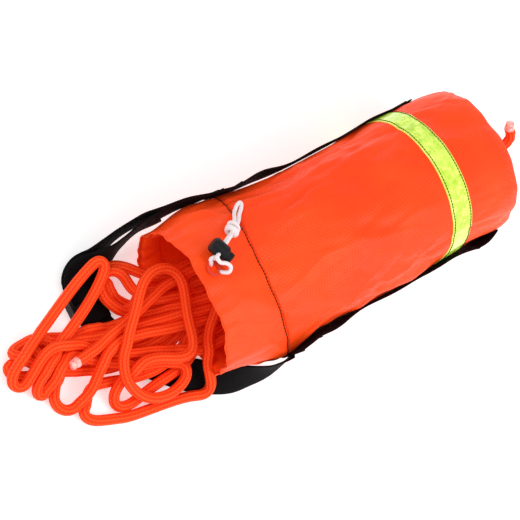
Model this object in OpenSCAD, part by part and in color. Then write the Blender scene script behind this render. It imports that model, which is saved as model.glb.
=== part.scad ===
// Throw rope bag lying on its side: a fabric tube with a drawcord mouth, webbing handle,
// reflective band, foam float and one continuous floating rope.
// X runs along the bag from the mouth (-X) to the base (+X). Z is up from the floor.
// The origin is on the flat underside, midway along the bag.

/* [Bag] */
// Length of the main fabric tube, from the collar seam to the base
tube_len = 222; // [200:1:260]
// Length of the collar, from the mouth to the collar seam
collar_len = 60; // [50:1:75]
// Width of the bag lying on the floor
bag_w = 118; // [114:1:122]
// Height of the full tube before its underside flattens
tube_h = 103.5; // [100:0.5:108]
// Height of the slack collar before its underside flattens
collar_h = 81.5; // [78:0.5:86]
// Drawn thickness of one layer of fabric
fabric_t = 1.2; // [0.8:0.1:1.4]
// Distance from the mouth to the middle of the reflective band
band_x = 220; // [180:1:240]
// Width of the reflective band
band_w = 20; // [15:1:25]

/* [Webbing] */
// Width of the handle and side webbing
web_w = 25; // [20:1:26]
// Thickness of the webbing
web_t = 1.6; // [1.2:0.1:1.6]
// Length of the tri-glide slider along the strap
slider_len = 20; // [18:1:22]

/* [Rope and cord] */
// Diameter of the throwing rope
rope_d = 8; // [6:0.5:8]
// Diameter of the drawcord
cord_d = 3; // [2.4:0.1:3]
// Outer diameter of the cord lock barrel
lock_d = 12; // [11.8:0.1:12.6]
// Bore of the base grommet
grommet_bore = 9.6; // [9:0.1:10]

/* [Hidden] */

flat_depth = 1.5;                 // how far the round underside is pressed flat
mouth_x = -140;
seam_x = mouth_x + collar_len;
base_x = seam_x + tube_len;
taper_len = 44;                   // the tube swells from the collar's height over this length
tube_mid_z = tube_h / 2 - flat_depth;
collar_mid_z = collar_h / 2 - flat_depth;
gap = 0.2;                        // room left between neighbouring soft pieces
thread_d = 0.8;
thread_t = 0.5;
section_sides = 48;
rope_sides = 8;

// Hem, drawcord tunnel and eyelet
hem_len = 22;
tunnel_depth = 3.4;
cord_x = mouth_x + 11;
eyelet_at = [-127, 13, 79];
eyelet_lean = -9;
eyelet_bore = 7;
eyelet_rim = 2.2;
eyelet_t = 1;

// Cord lock, drawn along its own axes: the cord runs along X and the button along -Y
lock_at = [-119, 23, 86];
lock_turn = [0, 9, 25];
lock_front = -5.6;
lock_back = 8.4;
lock_edge = 1.6;                  // rounding of the barrel's ends
plunger_d = 8.6;
plunger_gap = 0.08;
button_face = -9.6;
plunger_end = 3.1;
plunger_wall = 1.4;
cord_slot_h = 2 * cord_d + 0.6;
cord_slot_w = cord_d + 0.5;
press_travel = 2.4;
lock_wall = 1.2;
spring_wire = 0.5;
spring_d = 6;
spring_turns = 3;
knot_at = 19.5;                   // distance along the cord from the lock to the knot
knot_r = 4.2;
tails_start = -8.5;

// Handle webbing: [x, y, z, tilt], where a tilt of 0 lies flat and 90 stands on edge
strap_path = [
    [-80.2, 61.6, 47, 90], [-86, 61.8, 46.5, 90], [-103, 64.5, 42, 82], [-120, 67, 35, 77],
    [-135, 68.5, 27, 78], [-150, 67, 19.5, 74], [-162, 63.5, 15.5, 64], [-173, 59, 11.5, 46],
    [-183.5, 55, 7.2, 18], [-187.8, 50, 3.9, 2], [-188, 44, 3.2, 0], [-188, 30, 3.2, 0],
    [-188, 17, 3.2, 0], [-184, 5, 3.2, 0], [-174, -11, 3.2, 0], [-161, -28, 3.2, 0],
    [-148, -40, 3.2, 0], [-136, -49, 4.4, -12], [-124, -57, 7.6, -28], [-112, -63.5, 10.8, -44],
    [-100, -68.5, 14.2, -58], [-89, -71.5, 20, -70], [-81, -68.5, 29, -82], [-74, -62.7, 39, -90]];
tail_first = 3;                   // the doubled tail follows the strap from this point
tail_offset = [2.6, 4.5, 7, 8, 6.8, 5.2, 3.6, 2.4, 1.9, 1.9];
slider_at = [-188, 32, 0];
slider_rail = 2.8;
slider_play = 0.9;
slider_bar = 3.4;
slider_bar_t = 2;
web_z = 48;                       // height of the webbing's middle along the bag's sides

// Rope routes, as points chosen along each stretch
top_loop = [
    [-145, -41, 16], [-147, -47, 14.5], [-154, -51, 13], [-165, -53, 12.5], [-178, -51, 13],
    [-189, -44, 15], [-196, -32, 19], [-195, -17, 24], [-189, -7, 28], [-181, 2, 31],
    [-172, 11, 33], [-164, 21, 35], [-157, 28, 36], [-148, 32, 37], [-138, 31, 38],
    [-130, 25, 38], [-128, 15, 37], [-132, 3, 36], [-136, -8, 35], [-138, -19, 34],
    [-140, -29, 32], [-145, -34, 30], [-155, -32, 28], [-167, -25, 25]];
long_loop = [
    [-256, 20, 16], [-244, 25, 16], [-228, 33, 16], [-212, 41, 18], [-198, 48, 21],
    [-184, 54, 25], [-176, 56, 27], [-173, 51, 27], [-180, 43, 24.5], [-190, 35, 21],
    [-201, 28, 18], [-213, 22, 17], [-228, 15, 16], [-242, 10, 16]];
ring_loop = [
    [-156, 17, 5], [-165.5, 14, 8], [-172, 17, 13.5], [-178, 26, 14], [-179, 35, 14],
    [-176, 42, 14.5], [-170, 46, 16], [-163, 44, 20], [-160, 37, 21], [-159, 28, 19]];
front_loop = [
    [-236, -3, 9], [-242, -8, 6], [-247, -16, 5], [-247, -25, 4.5], [-240, -31, 5],
    [-230, -30, 8], [-221, -25, 13], [-213, -17, 17], [-206, -9, 19]];
side_strand = [
    [-145.5, -64, 10], [-145.5, -60, 15], [-146, -53, 21.5], [-146, -45, 30], [-137, -38, 35],
    [-126, -28, 34], [-115, -18, 30]];
free_end = [
    [-128, 19, 27], [-138, 19, 27], [-150, 16, 26], [-164, 11, 24], [-178, 7, 22],
    [-190, 3, 20.5], [-202, 1, 20], [-212, 0, 20], [-221, -1, 20.5], [-227, -1, 22.5]];
tail_route = [
    [108, 0, 49], [125, 0, 49], [139, 0, 50.25], [161, 0, 50.5], [168, 0, 56], [174, 3, 62],
    [180, 9, 67]];
feed_route = [
    [-34, 6, 6.5], [-52, 9, 6.5], [-75, 8, 6.5], [-100, 3, 8], [-116, -1, 10.4], [-125, -3, 10.6],
    [-142, -6, 10.4]];
side_heap = [[-249, 10], [-262, 11], [-258, 2], [-245, 9]];
main_heap = [[-152, -18], [-152, 2], [-182, -12], [-184, -4]];
heap_r = 9;
heap_t = 9;
heap_on_strap = 4.8;              // height of the pile that lies on the handle
coil_start = -30;
coil_end = 106;
coil_mid_z = 49;
coil_layers = 4;
coil_pitch = 9;
coil_r = 43;                      // centreline radius of the outer layer
float_x = 112;
float_t = 12;
float_r = 44;
float_bore = 10;
grommet_r = 11;
grommet_t = 1.2;
grommet_wall = 1.2;
knot_x = 152;
stopper_r = 8;
seal_len = 6;

// Outline of the bag across its length, moved in by inset
function section(h, inset) = [for (k = [0 : section_sides - 1])
    let (a = 360 * k / section_sides)
    [(bag_w / 2 - inset) * cos(a),
     max(inset, h / 2 - flat_depth + (h / 2 - inset) * sin(a))]];

function unit(v) = v / norm(v);
function tangent(p, i) = unit(p[min(i + 1, len(p) - 1)] - p[max(i - 1, 0)]);
function side_of(t) = unit(cross(t, [0, 0, 1]));
function circle_ring(p, i, r) =
    let (t = tangent(p, i), s = side_of(t), u = cross(s, t))
    [for (k = [0 : rope_sides - 1])
        let (a = 360 * k / rope_sides)
        p[i] + r * (cos(a) * s + sin(a) * u)];

// Corners of the webbing's cross-section at one point of its path
function place(q) = [q[0], q[1], q[2]];
function web_dir(path, i) =
    let (t = tangent([for (q = path) place(q)], i), s = side_of(t), u = cross(s, t))
    cos(path[i][3]) * s + sin(path[i][3]) * u;
function web_normal(path, i) =
    cross(web_dir(path, i), tangent([for (q = path) place(q)], i));
function web_ring(path, i) =
    let (w = web_dir(path, i) * web_w / 2, n = web_normal(path, i) * web_t / 2, c = place(path[i]))
    [c + w + n, c - w + n, c - w - n, c + w - n];

// Solid through a list of rings that all hold the same number of points
module skin(rings) {
    n = len(rings[0]);
    last = len(rings) - 1;
    side_faces = [for (i = [0 : last - 1], k = [0 : n - 1])
        let (a = i * n + k, b = i * n + (k + 1) % n)
        each [[a, b, b + n], [a, b + n, a + n]]];
    first_cap = [for (k = [1 : n - 2]) [0, k + 1, k]];
    last_cap = [for (k = [1 : n - 2]) [last * n, last * n + k, last * n + k + 1]];
    polyhedron([for (r = rings) each r], concat(first_cap, side_faces, last_cap));
}

module tube(path, d) {
    skin([for (i = [0 : len(path) - 1]) circle_ring(path, i, d / 2)]);
}

module along_x(x0, x1) {
    translate([x0, 0, 0]) rotate([90, 0, 90]) linear_extrude(x1 - x0) children();
}

module rod_x(x0, x1, r, z) {
    translate([x0, 0, z]) rotate([0, 90, 0]) cylinder(h = x1 - x0, r = r, $fn = 48);
}

module tapered_body(inset, x0, x1) {
    slice = 0.1;
    hull() {
        along_x(x0, x0 + slice) polygon(section(collar_h, inset));
        along_x(seam_x + taper_len, seam_x + taper_len + slice) polygon(section(tube_h, inset));
    }
    along_x(seam_x + taper_len, x1) polygon(section(tube_h, inset));
}

module body_panel() {
    color("orangered") difference() {
        tapered_body(0, seam_x, base_x);
        tapered_body(fabric_t, seam_x - 0.05, base_x + 1);
    }
}

module collar_panel() {
    color("orangered") difference() {
        along_x(mouth_x, seam_x - 0.1) polygon(section(collar_h, 0));
        along_x(mouth_x - 1, seam_x + 1) polygon(section(collar_h, fabric_t));
        translate(eyelet_at) rotate([eyelet_lean, 0, 0]) cylinder(h = 12, d = eyelet_bore, center = true, $fn = 32);
    }
}

// Inner fold of the mouth, which leaves a tunnel for the drawcord
module mouth_hem() {
    inner = fabric_t + tunnel_depth;
    color("orangered") difference() {
        along_x(mouth_x, mouth_x + hem_len) polygon(section(collar_h, fabric_t + 0.02));
        along_x(mouth_x - 1, mouth_x + hem_len + 1) polygon(section(collar_h, inner + fabric_t));
        difference() {
            along_x(mouth_x + fabric_t, mouth_x + hem_len - fabric_t) polygon(section(collar_h, 0));
            along_x(mouth_x, mouth_x + hem_len) polygon(section(collar_h, inner));
        }
    }
}

module base_panel() {
    color("orangered") difference() {
        along_x(base_x, base_x + fabric_t) polygon(section(tube_h, 0));
        rod_x(base_x - 1, base_x + 3, grommet_bore / 2 + grommet_wall + 0.05, tube_mid_z);
    }
}

// Thin raised line of thread around the bag
module thread_line(x, h) {
    along_x(x - thread_d / 2, x + thread_d / 2) difference() {
        polygon(section(h, -thread_t));
        polygon(section(h, -0.02));
        translate([-bag_w, -2]) square([2 * bag_w, 4]);
    }
}

module collar_seam_stitching() {
    color("black") thread_line(seam_x - 1.5, collar_h);
}

module side_webbing(side) {
    y_mid = bag_w / 2 + gap + web_t / 2;
    color("black") translate([seam_x, side * y_mid - web_t / 2, web_z - web_w / 2])
        cube([tube_len - 4, web_t, web_w]);
}

module side_webbing_left() {
    side_webbing(1);
}

module side_webbing_right() {
    side_webbing(-1);
}

module handle_strap() {
    color("black") skin([for (i = [0 : len(strap_path) - 1]) web_ring(strap_path, i)]);
}

// Doubled end of the strap, lying along its inner face
module strap_tail() {
    path = [for (k = [0 : len(tail_offset) - 1])
        let (i = tail_first + k, c = place(strap_path[i]) + tail_offset[k] * web_normal(strap_path, i))
        [c[0], c[1], c[2], strap_path[i][3]]];
    color("black") skin([for (i = [0 : len(path) - 1]) web_ring(path, i)]);
}

module strap_slider() {
    rail_x = web_w / 2 + slider_play;
    flat = tail_first + len(tail_offset) - 1;
    doubled = tail_offset[len(tail_offset) - 1] + web_t / 2;
    height = strap_path[flat][2] + doubled + slider_bar_t + 0.3;
    half = slider_len / 2;
    color("black") translate(slider_at) {
        for (side = [-1, 1])
            translate([side * (rail_x + slider_rail / 2) - slider_rail / 2, -half, gap])
                cube([slider_rail, slider_len, height]);
        for (y = [-half, half - slider_bar])
            translate([-rail_x - 0.1, y, gap]) cube([2 * rail_x + 0.2, slider_bar, slider_bar_t]);
        translate([-rail_x - 0.1, -slider_bar / 2, height + gap - slider_bar_t])
            cube([2 * rail_x + 0.2, slider_bar, slider_bar_t]);
    }
}

// Stitched ends where the webbing is sewn to the bag
module strap_bar_tacks() {
    y_face = bag_w / 2 + gap + web_t + 0.02;
    stitch = 1.2;
    color("dimgray") for (side = [-1, 1], x = [seam_x + 4, seam_x + 22, base_x - 14])
        translate([x, side > 0 ? y_face : -y_face - thread_t, web_z - web_w / 2 + 2])
            cube([stitch, thread_t, web_w - 4]);
}

module band_ring(x0, x1, out0, out1) {
    along_x(x0, x1) difference() {
        polygon(section(tube_h, -out1));
        polygon(section(tube_h, -out0));
        translate([-bag_w, -2]) square([2 * bag_w, 4]);
        for (side = [-1, 1])
            translate([side * bag_w / 2 - 4, web_z - web_w / 2 - gap]) square([8, web_w + 2 * gap]);
    }
}

module reflective_band() {
    x0 = mouth_x + band_x - band_w / 2;
    color("greenyellow") band_ring(x0, x0 + band_w, 0.02, 0.6);
}

module band_stitching() {
    x0 = mouth_x + band_x - band_w / 2;
    inset = 2;
    color("darkolivegreen") for (x = [x0 + inset, x0 + band_w - inset - thread_d])
        band_ring(x, x + thread_d, 0.62, 0.9);
}

module drawcord_ring() {
    color("white") along_x(cord_x - cord_d / 2, cord_x + cord_d / 2) difference() {
        polygon(section(collar_h, fabric_t + 0.2));
        polygon(section(collar_h, fabric_t + 0.2 + cord_d));
    }
}

// Everything that belongs to the cord lock is drawn about its own centre
module at_lock() {
    translate(lock_at) rotate(lock_turn) children();
}

module drawcord_tails() {
    color("white") at_lock() for (side = [-1, 1])
        translate([tails_start, 0, side * (cord_d / 2 + 0.05)]) rotate([0, 90, 0])
            cylinder(h = knot_at - knot_r * 0.9 - tails_start, d = cord_d, $fn = 24);
}

module drawcord_knot() {
    color("white") at_lock() translate([knot_at, 0, 0]) {
        rotate([90, 0, 20]) rotate_extrude($fn = 32) translate([knot_r - cord_d / 2 - 0.3, 0]) circle(d = cord_d, $fn = 20);
        sphere(d = cord_d + 0.6, $fn = 24);
    }
}

module drawcord_end_loop() {
    path = [[-97.6, 32.8, 84.4], [-90, 37, 82], [-83, 43, 77], [-78, 48, 72], [-77, 51, 69.5],
        [-81, 50.5, 69], [-86, 46, 72], [-92, 41, 76.5], [-97.5, 36.5, 79.5]];
    color("white") tube(path, cord_d);
}

module cord_eyelet() {
    color("firebrick") translate(eyelet_at) rotate([eyelet_lean, 0, 0]) difference() {
        translate([0, 0, gap]) cylinder(h = eyelet_t, d = eyelet_bore + 2 * eyelet_rim, $fn = 40);
        cylinder(h = 8, d = eyelet_bore - 0.4, center = true, $fn = 40);
    }
}

module cord_slot(w) {
    translate([-lock_d, -w / 2, -cord_slot_h / 2]) cube([2 * lock_d, w, cord_slot_h]);
}

module cord_lock_barrel() {
    r = lock_d / 2;
    bore = plunger_d / 2 + plunger_gap;
    color("black") at_lock() difference() {
        rotate([-90, 0, 0]) rotate_extrude($fn = 64) polygon([
            [bore, lock_front], [r - lock_edge, lock_front], [r, lock_front + lock_edge],
            [r, lock_back - lock_edge], [r - lock_edge, lock_back], [0, lock_back],
            [0, lock_back - lock_wall], [bore, lock_back - lock_wall]]);
        cord_slot(cord_slot_w);
    }
}

// The plunger's slot is longer than the barrel's by the travel, so pressing frees the cord
module cord_lock_button() {
    slot_back = cord_slot_w / 2;
    pocket_r = spring_d / 2 + 0.3;
    color("black") at_lock() difference() {
        rotate([-90, 0, 0]) translate([0, 0, button_face]) cylinder(h = plunger_end + plunger_wall - button_face, d = plunger_d, $fn = 48);
        translate([-lock_d, slot_back - cord_slot_w - press_travel, -cord_slot_h / 2])
            cube([2 * lock_d, cord_slot_w + press_travel, cord_slot_h]);
        translate([0, plunger_end, 0]) rotate([-90, 0, 0]) cylinder(h = 6, r = pocket_r, $fn = 40);
    }
}

// Compression spring behind the plunger, drawn as stacked rings
module cord_lock_spring() {
    room = lock_back - lock_wall - plunger_end - 0.2;
    pitch = (room - spring_wire) / (spring_turns - 1);
    color("silver") at_lock() for (k = [0 : spring_turns - 1])
        translate([0, plunger_end + 0.1 + spring_wire / 2 + k * pitch, 0]) rotate([90, 0, 0])
            rotate_extrude($fn = 40) translate([(spring_d - spring_wire) / 2, 0]) circle(d = spring_wire, $fn = 16);
}

module base_grommet() {
    r = grommet_bore / 2;
    color("silver") translate([base_x, 0, tube_mid_z]) rotate([0, 90, 0]) rotate_extrude($fn = 64) polygon([
        [r, -grommet_t], [r + grommet_wall, -grommet_t], [r + grommet_wall, fabric_t + 0.02],
        [grommet_r, fabric_t + 0.02], [grommet_r - 0.6, fabric_t + grommet_t], [r + 0.5, fabric_t + grommet_t],
        [r, fabric_t + grommet_t - 0.5]]);
}

module grommet_washer() {
    color("silver") difference() {
        rod_x(base_x - grommet_t, base_x - 0.02, grommet_r, tube_mid_z);
        rod_x(base_x - 3, base_x + 1, grommet_bore / 2 + grommet_wall + 0.02, tube_mid_z);
    }
}

module float_disc() {
    color("ivory") difference() {
        rod_x(float_x, float_x + float_t, float_r, coil_mid_z);
        rod_x(float_x - 1, float_x + float_t + 1, float_bore / 2, coil_mid_z);
    }
}

// The rope stored in the bag, as one thick-walled roll
module rope_coil() {
    outer = coil_r + rope_d / 2;
    inner = coil_r - (coil_layers - 1) * coil_pitch - rope_d / 2;
    color("tomato") translate([coil_start, 0, coil_mid_z]) rotate([0, 90, 0]) rotate_extrude($fn = 64)
        translate([inner, 0]) square([outer - inner, coil_end - coil_start]);
}

module rope_feed() {
    color("tomato") tube(feed_route, rope_d);
}

module heap(outline, z0) {
    hull() for (p = outline)
        translate([p[0], p[1], z0]) cylinder(h = heap_t, r = heap_r, $fn = 32);
}

module rope_heap() {
    color("tomato") {
        heap(side_heap, gap);
        heap(main_heap, heap_on_strap);
    }
}

module rope_top_loop() {
    color("tomato") tube(top_loop, rope_d);
}

module rope_long_loop() {
    color("tomato") tube(long_loop, rope_d);
}

module rope_ring_loop() {
    color("tomato") tube(ring_loop, rope_d);
}

module rope_front_loop() {
    color("tomato") tube(front_loop, rope_d);
}

module rope_side_strand() {
    color("tomato") tube(side_strand, rope_d);
}

module rope_free_end() {
    color("tomato") tube(free_end, rope_d);
}

module rope_end_seal() {
    tip = free_end[len(free_end) - 1];
    dir = tangent(free_end, len(free_end) - 1);
    lean = acos(dir[2]);
    color("mistyrose") translate(tip + 0.1 * dir) rotate([0, -lean, 0]) cylinder(h = seal_len, d = rope_d, $fn = 32);
}

module stopper_knot() {
    color("tomato") translate([knot_x + 4, 0, tube_mid_z]) rotate([0, 90, 0]) rotate_extrude($fn = 40)
        translate([stopper_r + 0.2, 0]) circle(d = rope_d, $fn = 24);
}

module rope_tail() {
    color("tomato") tube(tail_route, rope_d);
}

module tail_seal() {
    last = len(tail_route) - 1;
    dir = tangent(tail_route, last);
    color("mistyrose") tube([tail_route[last] + 0.1 * dir, tail_route[last] + seal_len * dir], rope_d);
}

body_panel();
collar_panel();
mouth_hem();
base_panel();
collar_seam_stitching();
side_webbing_left();
side_webbing_right();
handle_strap();
strap_tail();
strap_slider();
strap_bar_tacks();
reflective_band();
band_stitching();
drawcord_ring();
drawcord_tails();
drawcord_knot();
drawcord_end_loop();
cord_eyelet();
cord_lock_barrel();
cord_lock_button();
cord_lock_spring();
base_grommet();
grommet_washer();
float_disc();
rope_coil();
rope_feed();
rope_heap();
rope_top_loop();
rope_long_loop();
rope_ring_loop();
rope_front_loop();
rope_side_strand();
rope_free_end();
rope_end_seal();
stopper_knot();
rope_tail();
tail_seal();
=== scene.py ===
"""Throw rope bag lying on its side with its rope spilled in front of the mouth."""

import math
from functools import cache

import bmesh
import bpy
import numpy as np
from mathutils import Matrix, Vector


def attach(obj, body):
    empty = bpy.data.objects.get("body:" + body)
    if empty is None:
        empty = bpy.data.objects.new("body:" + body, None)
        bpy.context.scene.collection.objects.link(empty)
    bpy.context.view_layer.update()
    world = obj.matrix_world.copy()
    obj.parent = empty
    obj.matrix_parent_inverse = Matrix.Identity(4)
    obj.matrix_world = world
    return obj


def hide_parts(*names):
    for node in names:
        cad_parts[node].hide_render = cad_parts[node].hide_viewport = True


MM = 0.001
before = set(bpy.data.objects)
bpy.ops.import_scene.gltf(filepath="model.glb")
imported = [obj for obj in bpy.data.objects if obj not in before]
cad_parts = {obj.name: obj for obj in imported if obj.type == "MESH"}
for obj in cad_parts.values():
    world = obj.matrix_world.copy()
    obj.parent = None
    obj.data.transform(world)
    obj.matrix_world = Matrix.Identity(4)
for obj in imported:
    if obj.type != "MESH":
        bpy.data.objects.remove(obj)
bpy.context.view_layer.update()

# Main sizes, in millimetres
MOUTH_X = -140.0
BASE_X = 142.0
ROPE_R = 4.0
CORD_R = 1.5
HEM_CORD_R = 1.35
WEB_W = 25.0
WEB_T = 1.6
FABRIC_T = 0.7
HEM_T = 0.35
TAPE_T = 0.4
HEM_LEN = 22.0
GROMMET_Z = 50.25
BAND = (70.0, 90.0)
UV_ROUND = 360.0

# How finely the pieces are drawn
ROPE_SIDES = 20
CORD_SIDES = 14
THREAD_SIDES = 6
SPLINE_PARTS = 14
WEB_STEP = 1.5
WELD_GAP = 1e-6

# Camera
CAM_PLACE = (-1.1302, 0.0046, 1.6828)
CAM_PITCH = math.radians(57)
CAM_ROLL = math.radians(63.5)
CAM_LENS = 185.9
CAM_SENSOR = 36


# ---- geometry helpers
def mesh_object(name, points, faces, uv=None, material=None):
    """Makes a smooth mesh from points in millimetres; uv holds one pair a point."""
    data = bpy.data.meshes.new(name)
    data.from_pydata((np.asarray(points, float) * MM).tolist(), [], faces)
    data.validate()
    if uv is not None:
        layer = data.uv_layers.new(name="UVMap")
        corner = np.zeros(len(data.loops), dtype=np.int32)
        data.loops.foreach_get("vertex_index", corner)
        layer.data.foreach_set("uv", np.asarray(uv, float)[corner].ravel())
    data.polygons.foreach_set("use_smooth", [True] * len(data.polygons))
    piece = bpy.data.objects.new(name, data)
    bpy.context.scene.collection.objects.link(piece)
    if material:
        data.materials.append(material)
    return piece


def grid_faces(rows, cols, wrap=False, flip=False, start=0):
    """Quads over a grid of points stored row by row; wrap joins the last column to the first."""
    faces = []
    for i in range(rows - 1):
        for j in range(cols if wrap else cols - 1):
            a = start + i * cols + j
            b = start + i * cols + (j + 1) % cols
            quad = (a, b, b + cols, a + cols)
            faces.append(quad[::-1] if flip else quad)
    return faces


def spline(points, step):
    """Smooth curve through the points, as evenly spaced points about step apart."""
    p = np.asarray(points, float)
    p = np.vstack([2 * p[0] - p[1], p, 2 * p[-1] - p[-2]])
    dense = []
    for i in range(1, len(p) - 2):
        t = np.linspace(0, 1, SPLINE_PARTS, endpoint=False)[:, None]
        a, b, c, d = p[i - 1], p[i], p[i + 1], p[i + 2]
        dense.append(0.5 * (2 * b + (c - a) * t + (2 * a - 5 * b + 4 * c - d) * t**2
                            + (3 * b - a - 3 * c + d) * t**3))
    dense.append(p[-2][None])
    return resample(np.vstack(dense), step)


def lengths(p):
    """Distance along a path at each of its points."""
    return np.concatenate([[0], np.cumsum(np.linalg.norm(np.diff(p[:, :3], axis=0), axis=1))])


def resample(p, step):
    """The same path as evenly spaced points about step apart."""
    s = lengths(p)
    count = max(2, int(round(s[-1] / step)) + 1)
    at = np.linspace(0, s[-1], count)
    return np.stack([np.interp(at, s, p[:, k]) for k in range(p.shape[1])], axis=1)


def unit(v):
    return v / np.maximum(np.linalg.norm(v, axis=-1, keepdims=True), 1e-9)


def frames_along(p):
    """Directions along a path and two across it that turn as little as possible."""
    t = unit(np.gradient(p, axis=0))
    side = np.zeros_like(p)
    ref = np.array([0, 0, 1.0]) if abs(t[0][2]) < 0.9 else np.array([1.0, 0, 0])
    side[0] = unit(np.cross(t[0], ref))
    for i in range(1, len(p)):
        side[i] = unit(side[i - 1] - t[i] * np.dot(side[i - 1], t[i]))
    return t, side, np.cross(side, t)


def tube_points(p, radius, sides):
    """Rings of points round a path; radius is one number or one a point."""
    _, side, up = frames_along(p)
    a = np.linspace(0, 2 * math.pi, sides, endpoint=False)
    r = np.broadcast_to(np.asarray(radius, float), len(p))[:, None, None]
    ring = np.cos(a)[None, :, None] * side[:, None] + np.sin(a)[None, :, None] * up[:, None]
    return p[:, None] + r * ring


def tube_object(name, p, radius, sides, material):
    """Closed tube along a path with a seam column, so that its uv runs right round."""
    ring = tube_points(p, radius, sides)
    ring = np.concatenate([ring, ring[:, :1]], axis=1)
    cols = sides + 1
    s = lengths(p)
    uv = np.stack(np.meshgrid(np.linspace(0, 1, cols), s), axis=-1)
    points = ring.reshape(-1, 3)
    faces = grid_faces(len(p), cols, flip=True)
    first = len(points)
    points = np.vstack([points, p[0], p[-1]])
    uv = np.vstack([uv.reshape(-1, 2), [0.5, 0], [0.5, s[-1]]])
    last = (len(p) - 1) * cols
    for k in range(sides):
        faces.append((first, k, k + 1))
        faces.append((first + 1, last + k + 1, last + k))
    piece = mesh_object(name, points, faces, uv, material)
    weld(piece)
    return piece


def weld(piece):
    """Joins points that lie on each other, so that a tube or ring is closed."""
    work = bmesh.new()
    work.from_mesh(piece.data)
    bmesh.ops.remove_doubles(work, verts=work.verts, dist=WELD_GAP)
    work.to_mesh(piece.data)
    work.free()


# ---- camera
def make_camera():
    """Looks along the bag from above its mouth, turned so that the bag lies across the picture."""
    forward = np.array([math.cos(CAM_PITCH), 0, -math.sin(CAM_PITCH)])
    level = np.array([0, -1.0, 0])
    upright = np.cross(level, forward)
    right = math.cos(CAM_ROLL) * level + math.sin(CAM_ROLL) * upright
    up = math.cos(CAM_ROLL) * upright - math.sin(CAM_ROLL) * level
    data = bpy.data.cameras.new("camera")
    data.sensor_width = CAM_SENSOR
    data.lens = CAM_LENS
    cam = bpy.data.objects.new("camera", data)
    bpy.context.scene.collection.objects.link(cam)
    rows = [(right[k], up[k], -forward[k], CAM_PLACE[k]) for k in range(3)]
    cam.matrix_world = Matrix(rows + [(0, 0, 0, 1)])
    bpy.context.scene.camera = cam


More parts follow.
